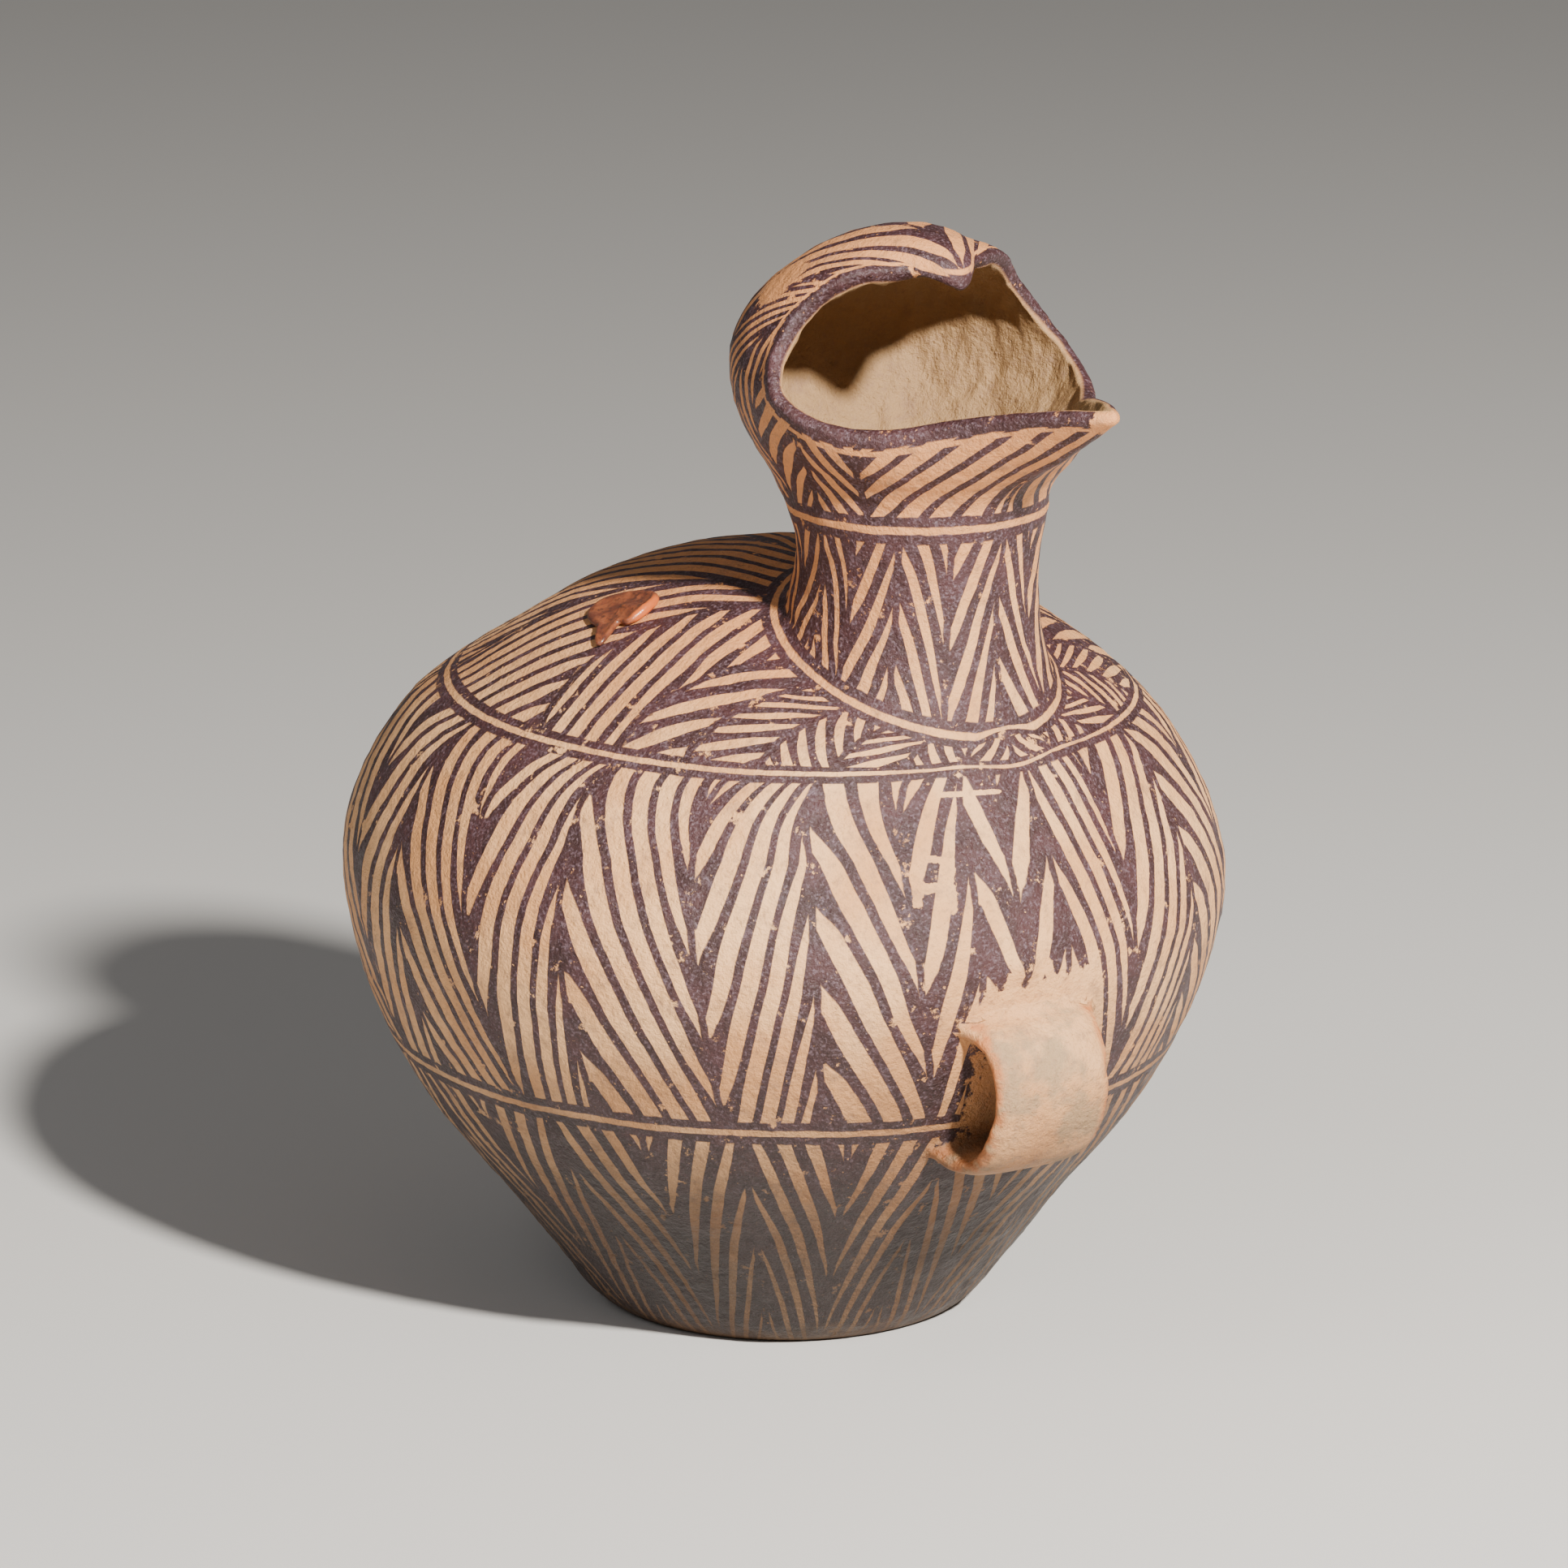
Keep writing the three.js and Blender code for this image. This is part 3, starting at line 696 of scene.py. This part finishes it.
def blend_roots(mesh, changed):
    """Softens the corner where the handle meets the body."""
    corners = corner_array(mesh)
    tree = tree_of(corners[changed])
    box_low, box_high = corners[changed].min(0) - ROOT_REACH, corners[changed].max(0) + ROOT_REACH
    near = np.nonzero(((corners > box_low) & (corners < box_high)).all(1))[0]
    away = np.array([tree.find(corners[k])[2] for k in near])
    weight = np.zeros(len(corners))
    weight[near] = np.clip(1 - away / ROOT_REACH, 0, 1)
    edges = np.empty(len(mesh.edges) * 2, np.int32)
    mesh.edges.foreach_get("vertices", edges)
    edges = edges.reshape(-1, 2)
    edges = edges[(weight[edges] > 0).any(1)]
    for _ in range(ROOT_ROUNDS):
        total, count = np.zeros_like(corners), np.zeros(len(corners))
        for one, other in ((0, 1), (1, 0)):
            np.add.at(total, edges[:, one], corners[edges[:, other]])
            np.add.at(count, edges[:, one], 1)
        moved = total / np.maximum(count, 1)[:, None]
        corners += (moved - corners) * (ROOT_EASE * weight * (count > 0))[:, None]
    mesh.vertices.foreach_set("co", (corners * MM).astype(np.float32).ravel())


def jar_values(places, outer, lip_count, count):
    """What the material reads per corner: the paint's plan, the share of the way in, the way to the rim."""
    outside = 1 + len(outer) * COLUMNS
    past_lip = outside + lip_count * COLUMNS
    values = {}
    for name, grid in paint_plan(places, outer).items():
        values[name] = np.zeros(count)
        values[name][1:outside] = grid.ravel()
        values[name][outside:past_lip] = np.tile(grid[-1], lip_count)
    inside = np.zeros(count)
    inside[outside:past_lip] = np.repeat(np.arange(1, lip_count + 1) / (lip_count + 1), COLUMNS)
    inside[past_lip:] = 1
    steps = np.linalg.norm(np.diff(np.array(outer)[::-1], axis=0), axis=-1)
    rim_depth = np.full(count, FAR_FROM_RIM)
    rim_depth[1:outside] = np.vstack([np.zeros(COLUMNS), np.cumsum(steps, axis=0)])[::-1].ravel()
    rim_depth[outside:past_lip] = 0
    return {**values, "inside": inside, "rim": rim_depth}


def join_handle(jar):
    """Makes the jar's mesh one closed body with the handle."""
    handle = new_mesh("handle_tool", *strap())
    join = jar.modifiers.new("join", "BOOLEAN")
    join.operation = "UNION"
    join.solver = "MANIFOLD"
    join.object = handle
    finished = bpy.data.meshes.new_from_object(jar.evaluated_get(bpy.context.evaluated_depsgraph_get()))
    jar.modifiers.clear()
    jar.data = finished
    bpy.data.objects.remove(handle)
    finished.name = "jar"


def build_jar():
    places, outer = outside_rows()
    lip, inner = lip_rows(), inside_rows()
    corners, faces = fan_body([*outer, *lip, *inner], point(0.0, 0.0, 0.0), point(0.0, 0.0, FLOOR))
    values = jar_values(places, outer, len(lip), len(corners))
    normals = vertex_normals(corners, faces)
    lifted = relief(corners, values["inside"] >= 1)
    still = np.clip(corners[:, 2] / RELIEF_FADE, 0, 1)
    still[corners[:, 2] < ON_FLOOR] = 0
    corners = corners + normals * (lifted * still)[:, None]
    jar = new_mesh("jar", corners, faces)
    join_handle(jar)
    place_attributes(jar.data, corners, values)
    jar.data.polygons.foreach_set("use_smooth", [True] * len(jar.data.polygons))
    return jar


def vertex_normals(corners, faces):
    mesh = bpy.data.meshes.new("measure")
    mesh.from_pydata(corners.tolist(), [], faces)
    mesh.update()
    flat = np.empty(len(corners) * 3, np.float32)
    mesh.vertices.foreach_get("normal", flat)
    bpy.data.meshes.remove(mesh)
    return flat.reshape(-1, 3).astype(float)


def place_attributes(mesh, corners, values):
    """Carries the plan's values to the joined mesh and marks what belongs to the handle."""
    joined = corner_array(mesh)
    tree = tree_of(corners)
    found = [tree.find(spot) for spot in joined]
    nearest = np.array([f[1] for f in found])
    away = np.array([f[2] for f in found])
    for name, array in values.items():
        put(mesh, name, array[nearest])
    on_handle = np.clip(away - HANDLE_MARGIN, 0, 1)
    put(mesh, "handle", on_handle)
    turn = math.radians(HANDLE_TURN)
    aside = np.abs(joined @ np.array([-math.cos(turn), math.sin(turn), 0]))
    edge = np.clip((aside - HANDLE_WIDTH / 2 + HANDLE_EDGE) / HANDLE_EDGE_FADE, 0, 1)
    put(mesh, "ridge", edge * on_handle)
    in_box = ((joined > ROOT_BOX[0]) & (joined < ROOT_BOX[1])).all(1)
    blend_roots(mesh, np.nonzero(in_box & (away > ROOT_AWAY[0]) & (away < ROOT_AWAY[1]))[0])


def build_wax():
    """The pressed lump of sealing wax, raised and glossy along its lower edge."""
    turn, slant = math.radians(WAX_TURN), math.radians(WAX_SLANT)
    centre = vessel(WAX_RING, turn)
    per_turn = np.linalg.norm(vessel(WAX_RING, turn + WAX_STEP) - centre) / WAX_STEP
    per_ring = np.linalg.norm(vessel(WAX_RING + WAX_STEP, turn) - centre) / WAX_STEP
    angles = np.arange(WAX_SIDES) / WAX_SIDES * 2 * np.pi

    def near(angle, reach):
        return np.exp(-((np.mod(angles - angle + np.pi, 2 * np.pi) - np.pi) / reach) ** 2)

    outline = 1 + WAX_WOBBLE * np.sin(3 * angles + 1) + WAX_TAIL_LENGTH * near(*WAX_TAIL)
    outline = outline - WAX_NOTCH_DEPTH * near(*WAX_NOTCH)

    def spots(share, rise):
        a = np.cos(angles) * WAX_LENGTH / 2 * share * outline
        b = np.sin(angles) * WAX_WIDTH / 2 * share * outline
        around = a * math.cos(slant) - b * math.sin(slant)
        up = a * math.sin(slant) + b * math.cos(slant)
        place, there = WAX_RING + up / per_ring, turn + around / per_turn
        return vessel(place, there) + vessel_normal(place, there) * (WAX_GAP + rise)[:, None]

    low_edge = near(*WAX_LOW_EDGE)
    rows, ridge = [spots(WAX_FOOT, np.zeros(WAX_SIDES))], [low_edge]
    for share, rise in WAX_PROFILE:
        raised = rise * WAX_HEIGHT * (WAX_FLAT_RISE + WAX_EDGE_RISE * low_edge)
        fade = min(1, (WAX_FADE_END - share) * WAX_FADE_RATE)
        wrinkle = WAX_WRINKLE * rough(spots(share, raised), WAX_WRINKLE_SIZE, seed=8) * fade
        rows.append(spots(share, np.maximum(WAX_LEAST_RISE, raised + wrinkle)))
        ridge.append(low_edge if share > WAX_RIDGE else low_edge * 0)
    corners, faces = fan_body(rows, rows[0].mean(0), rows[-1].mean(0))
    piece = new_mesh("wax", corners, faces)
    put(piece.data, "ridge", np.concatenate([[0], *ridge, [0]]))
    return piece


class Shader:
    """Short names for a material's nodes."""

    def __init__(self, name):
        self.material = bpy.data.materials.new(name)
        self.material.use_nodes = True
        self.tree = self.material.node_tree
        self.finish = self.tree.nodes["Principled BSDF"]

    def link(self, value, socket):
        if isinstance(value, bpy.types.NodeSocket):
            self.tree.links.new(value, socket)
        elif value is not None:
            socket.default_value = value

    def math(self, operation, first, second=None, third=None):
        node = self.tree.nodes.new("ShaderNodeMath")
        node.operation = operation
        for value, socket in zip((first, second, third), node.inputs):
            self.link(value, socket)
        return node.outputs[0]

    def attribute(self, name):
        node = self.tree.nodes.new("ShaderNodeAttribute")
        node.attribute_name = name
        return node.outputs["Fac"]

    def position(self, stretch=(1, 1, 1)):
        node = self.tree.nodes.new("ShaderNodeMapping")
        node.inputs["Scale"].default_value = [s / MM for s in stretch]
        self.link(self.tree.nodes.new("ShaderNodeTexCoord").outputs["Object"], node.inputs["Vector"])
        return node.outputs[0]

    def noise(self, size, detail=3.0, roughness=0.55, stretch=(1, 1, 1), seed=0.0):
        """Noise of this lump size in millimetres, about 0 to 1."""
        node = self.tree.nodes.new("ShaderNodeTexNoise")
        node.noise_dimensions = "4D"
        node.inputs["W"].default_value = seed
        node.inputs["Scale"].default_value = 1 / size
        node.inputs["Detail"].default_value = detail
        node.inputs["Roughness"].default_value = roughness
        self.link(self.position(stretch), node.inputs["Vector"])
        return node.outputs["Fac"]

    def step(self, value, low, high, start=0.0, end=1.0):
        """Smooth step from start to end as the value goes from low to high."""
        node = self.tree.nodes.new("ShaderNodeMapRange")
        node.interpolation_type = "SMOOTHSTEP"
        given = {"Value": value, "From Min": low, "From Max": high, "To Min": start, "To Max": end}
        for name, number in given.items():
            self.link(number, node.inputs[name])
        return node.outputs["Result"]

    def blend(self, share, first, second):
        """Mix of two colours, each given as screen values or as a socket."""
        node = self.tree.nodes.new("ShaderNodeMix")
        node.data_type = "RGBA"
        self.link(share, node.inputs[0])
        for value, socket in ((first, node.inputs[6]), (second, node.inputs[7])):
            self.link(colour(value) if isinstance(value, tuple) else value, socket)
        return node.outputs[2]

    def bump(self, height, distance, strength=1.0, below=None):
        node = self.tree.nodes.new("ShaderNodeBump")
        node.inputs["Distance"].default_value = distance * MM
        node.inputs["Strength"].default_value = strength
        self.link(height, node.inputs["Height"])
        if below is not None:
            self.link(below, node.inputs["Normal"])
        return node.outputs[0]


def colour(screen):
    """Linear colour from screen values of 0 to 255."""
    parts = [value / 255 for value in screen]
    linear = [c / 12.92 if c <= 0.04045 else ((c + 0.055) / 1.055) ** 2.4 for c in parts]
    return (*linear, 1.0)


def painted_mask(s):
    """Where paint lies: stripes, spines and bands, with a brush's uneven edge."""
    wander = s.math("SUBTRACT", s.noise(24, 2, seed=1), 0.5)
    tremble = s.math("SUBTRACT", s.noise(3.0, 3, seed=2), 0.5)
    phase = s.math("MULTIPLY_ADD", wander, BRUSH_WANDER, s.attribute("stripe"))
    phase = s.math("MULTIPLY_ADD", tremble, BRUSH_TREMBLE, phase)
    half = s.math("MULTIPLY", s.attribute("dark"), 0.5)
    centred = s.math("WRAP", s.math("SUBTRACT", phase, half), 0.5, -0.5)
    from_spine = s.math("MULTIPLY_ADD", tremble, EDGE_TREMBLE, s.math("ABSOLUTE", s.attribute("spine")))
    swollen = s.math("ADD", half, s.step(from_spine, *SPINE_SWELL_EDGE, SPINE_SWELL, 0))
    past_edge = s.math("SUBTRACT", s.math("ABSOLUTE", centred), swollen)
    stripe = s.step(past_edge, -STRIPE_EDGE, STRIPE_EDGE, 1, 0)
    spine = s.step(from_spine, *SPINE_EDGE, 1, 0)
    offset = s.math("MULTIPLY", s.math("WRAP", s.attribute("band"), 0.5, -0.5), BAND_REACH)
    from_line = s.math("ABSOLUTE", s.math("MULTIPLY_ADD", tremble, LINE_TREMBLE, offset))
    near = s.step(from_line, *BAND_EDGE, 1, 0)
    gap = s.step(from_line, *BAND_GAP, 0, 1)
    paint = s.math("MAXIMUM", s.math("MAXIMUM", stripe, spine), near)
    paint = s.math("MULTIPLY", paint, gap)
    rim_depth = s.attribute("rim")
    edge = s.step(s.math("MULTIPLY_ADD", tremble, EDGE_TREMBLE, rim_depth), *RIM_EDGE, 1, 0)
    edge_gap = s.step(s.math("ABSOLUTE", s.math("SUBTRACT", rim_depth, RIM_LINE)), *RIM_GAP, 0, 1)
    return s.math("MULTIPLY", s.math("MAXIMUM", paint, edge), edge_gap)


def worn(s):
    """How much paint has held: flakes, speckle and the bare places."""
    flakes = s.step(s.noise(5.5, 5, 0.7, seed=3), 0.34, 0.4)
    specks = s.step(s.noise(1.4, 3, 0.6, seed=4), 0.28, 0.34)
    foot = s.step(s.math("MULTIPLY_ADD", s.noise(9, 4, 0.7, seed=5), 20, s.attribute("rise")), *FOOT_BARE)
    inside = s.step(s.attribute("inside"), 0.62, 0.8, 1, 0)
    handle = s.step(s.attribute("handle"), 0.1, 0.5, 1, 0)
    uneven = s.math("SUBTRACT", s.noise(2.5, 4, 0.7, seed=14), 0.5)
    ragged = s.math("MULTIPLY_ADD", uneven, 0.9, s.attribute("bare"))
    held = s.math("MULTIPLY", s.math("MULTIPLY", flakes, specks), s.step(ragged, 0.46, 0.54, 1, 0))
    for cause in (foot, inside, handle):
        held = s.math("MULTIPLY", held, cause)
    return held


def clay_tone(s, strap_part):
    """Bare clay: warm and mottled, sandy inside, greyed on the handle and bright along its edges."""
    clay = s.blend(s.step(s.noise(38, 3, seed=6), 0.35, 0.65), CLAY_LIGHT, CLAY_DEEP)
    clay = s.blend(s.step(s.attribute("rise"), 60, 150), clay, CLAY_ORANGE)
    clay = s.blend(s.step(s.attribute("inside"), 0.5, 0.9), clay, CLAY_SANDY)
    clay = s.blend(s.step(s.noise(7, 5, 0.7, seed=7), 0.52, 0.7, 0, 0.5), clay, CLAY_SHADE)
    greyed = s.math("MULTIPLY", strap_part, s.step(s.noise(11, 4, 0.6, seed=18), 0.44, 0.6, 0, 0.75))
    clay = s.blend(greyed, clay, CLAY_GREY)
    rubbed = s.math("MULTIPLY", s.attribute("ridge"), s.step(s.noise(5, 4, seed=19), 0.35, 0.55))
    clay = s.blend(rubbed, clay, CLAY_RIDGE)
    return s.blend(s.step(s.noise(2.2, 5, 0.75, seed=20), 0.48, 0.7, 0, 0.45), clay, CLAY_SHADE)


def paint_tone(s):
    """Purple-brown paint, thinner in places, with lilac patches and specks that are partly the paint's own
    speckle and partly painted sheen.
    """
    coat = s.blend(s.step(s.noise(11, 4, 0.65, seed=8), 0.35, 0.7), PAINT, PAINT_THIN)
    # Painted sheen: lilac patches and specks lighten the paint where highlights would show, partly also the
    # paint's own speckle
    coat = s.blend(s.step(s.noise(4, 4, 0.7, seed=9), 0.56, 0.75, 0, 0.4), coat, LILAC_SPECKLE_AND_PAINTED_SHEEN)
    return s.blend(s.step(s.noise(0.8, 3, seed=17), 0.5, 0.68, 0, 0.45), coat, LILAC_SPECKLE_AND_PAINTED_SHEEN)


def clay_bumps(s, strap_part, paint):
    """Fine grain, coarser inside, on the handle and low on the body, under a thin film of paint."""
    coarse = s.math("MAXIMUM", s.step(s.attribute("inside"), 0.6, 1), s.math("MULTIPLY", strap_part, 0.7))
    rubble = s.math("MULTIPLY", s.noise(5, 6, 0.7, stretch=(1, 1, 0.6), seed=15), coarse)
    low_strength = s.step(s.attribute("rise"), -70, -10, 1.5, 0.55)
    low = s.math("MULTIPLY", s.noise(3.2, 5, 0.65, seed=16), low_strength)
    fine = s.bump(s.noise(0.9, 4, 0.65, seed=12), 0.7, 0.8)
    grain = s.bump(s.math("ADD", rubble, low), 2.2, 0.8, fine)
    return s.bump(paint, 0.12, 0.6, grain)


def painted_clay():
    s = Shader("painted_clay")
    paint = s.math("MULTIPLY", painted_mask(s), worn(s))
    strap_part = s.step(s.attribute("handle"), 0.1, 0.5)
    body = s.blend(s.math("MULTIPLY", paint, PAINT_COVER), clay_tone(s, strap_part), paint_tone(s))
    grime = s.step(s.noise(2.6, 5, 0.7, seed=10), 0.6, 0.74, 0, 0.45)
    # Painted shade, with some grime: the colour darkens towards the foot, on top of dark grime specks
    uneven_rise = s.math("MULTIPLY_ADD", s.noise(20, 4, seed=13), -50, s.attribute("rise"))
    painted_foot_shade = s.step(uneven_rise, *PAINTED_FOOT_SHADE_RISE, PAINTED_FOOT_SHADE_SHARE, 0)
    body = s.blend(s.math("MAXIMUM", grime, painted_foot_shade), body, SOOT_AND_PAINTED_SHADE)
    s.link(body, s.finish.inputs["Base Color"])
    gloss = s.step(s.noise(6, 3, seed=11), 0.3, 0.7, 0.36, 0.52)
    s.link(s.math("MULTIPLY_ADD", s.math("SUBTRACT", 1.0, paint), 0.16, gloss), s.finish.inputs["Roughness"])
    s.finish.inputs["Specular IOR Level"].default_value = 0.4
    s.link(clay_bumps(s, strap_part, paint), s.finish.inputs["Normal"])
    return s.material


def sealing_wax():
    s = Shader("sealing_wax")
    tone = s.blend(s.step(s.noise(4, 3, seed=21), 0.35, 0.65), WAX_DEEP, WAX_BROWN)
    tone = s.blend(s.step(s.noise(1.2, 4, seed=22), 0.5, 0.66, 0, 0.8), tone, WAX_DARK)
    tone = s.blend(s.step(s.attribute("ridge"), 0.3, 0.7), tone, WAX_BRIGHT)
    s.link(tone, s.finish.inputs["Base Color"])
    s.finish.inputs["Roughness"].default_value = 0.28
    s.finish.inputs["Subsurface Weight"].default_value = 0.1
    s.link(s.bump(s.noise(0.8, 3, seed=23), 0.2, 0.5), s.finish.inputs["Normal"])
    return s.material


def plain(name, screen, roughness):
    s = Shader(name)
    s.finish.inputs["Base Color"].default_value = colour(screen)
    s.finish.inputs["Roughness"].default_value = roughness
    return s.material


def dress(piece, material, node):
    piece.data.materials.clear()
    piece.data.materials.append(material)
    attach(piece, "root")
    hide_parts(node)


def towards(azimuth, elevation):
    a, e = math.radians(azimuth), math.radians(elevation)
    return Vector((math.sin(a) * math.cos(e), -math.cos(a) * math.cos(e), math.sin(e)))


def aim(thing, spot, target):
    thing.location = spot
    thing.rotation_euler = (target - spot).to_track_quat("-Z", "Y").to_euler()


def set_camera():
    data = bpy.data.cameras.new("camera")
    data.lens = CAMERA_LENS
    data.sensor_width = CAMERA_SENSOR
    camera = bpy.data.objects.new("camera", data)
    bpy.context.scene.collection.objects.link(camera)
    aim(camera, CAMERA_TARGET + towards(CAMERA_AZIMUTH, CAMERA_ELEVATION) * CAMERA_DISTANCE, CAMERA_TARGET)
    bpy.context.scene.camera = camera


def add_light(name, azimuth, elevation, distance, size, power, tint):
    data = bpy.data.lights.new(name, "AREA")
    data.shape = "DISK"
    data.size = size
    data.energy = power
    data.color = tint
    light = bpy.data.objects.new(name, data)
    bpy.context.scene.collection.objects.link(light)
    aim(light, CAMERA_TARGET + towards(azimuth, elevation) * distance, CAMERA_TARGET)


def set_stage():
    corners = FLOOR_HALF * np.array([[-1, -1, 0], [1, -1, 0], [1, 1, 0], [-1, 1, 0]], float)
    floor = new_mesh("floor", corners, [(0, 1, 2, 3)])
    floor.data.materials.append(plain("pale_floor", FLOOR_TONE, FLOOR_ROUGHNESS))
    world = bpy.data.worlds.new("studio")
    world.use_nodes = True
    world.node_tree.nodes["Background"].inputs["Color"].default_value = colour(WORLD_TONE)
    world.node_tree.nodes["Background"].inputs["Strength"].default_value = WORLD_STRENGTH
    bpy.context.scene.world = world
    for light in LIGHTS:
        add_light(*light)


jar = build_jar()
wax = build_wax()
dress(jar, painted_clay(), "bird_jar")
dress(wax, sealing_wax(), "wax_seal")
set_stage()
set_camera()
bpy.context.view_layer.update()
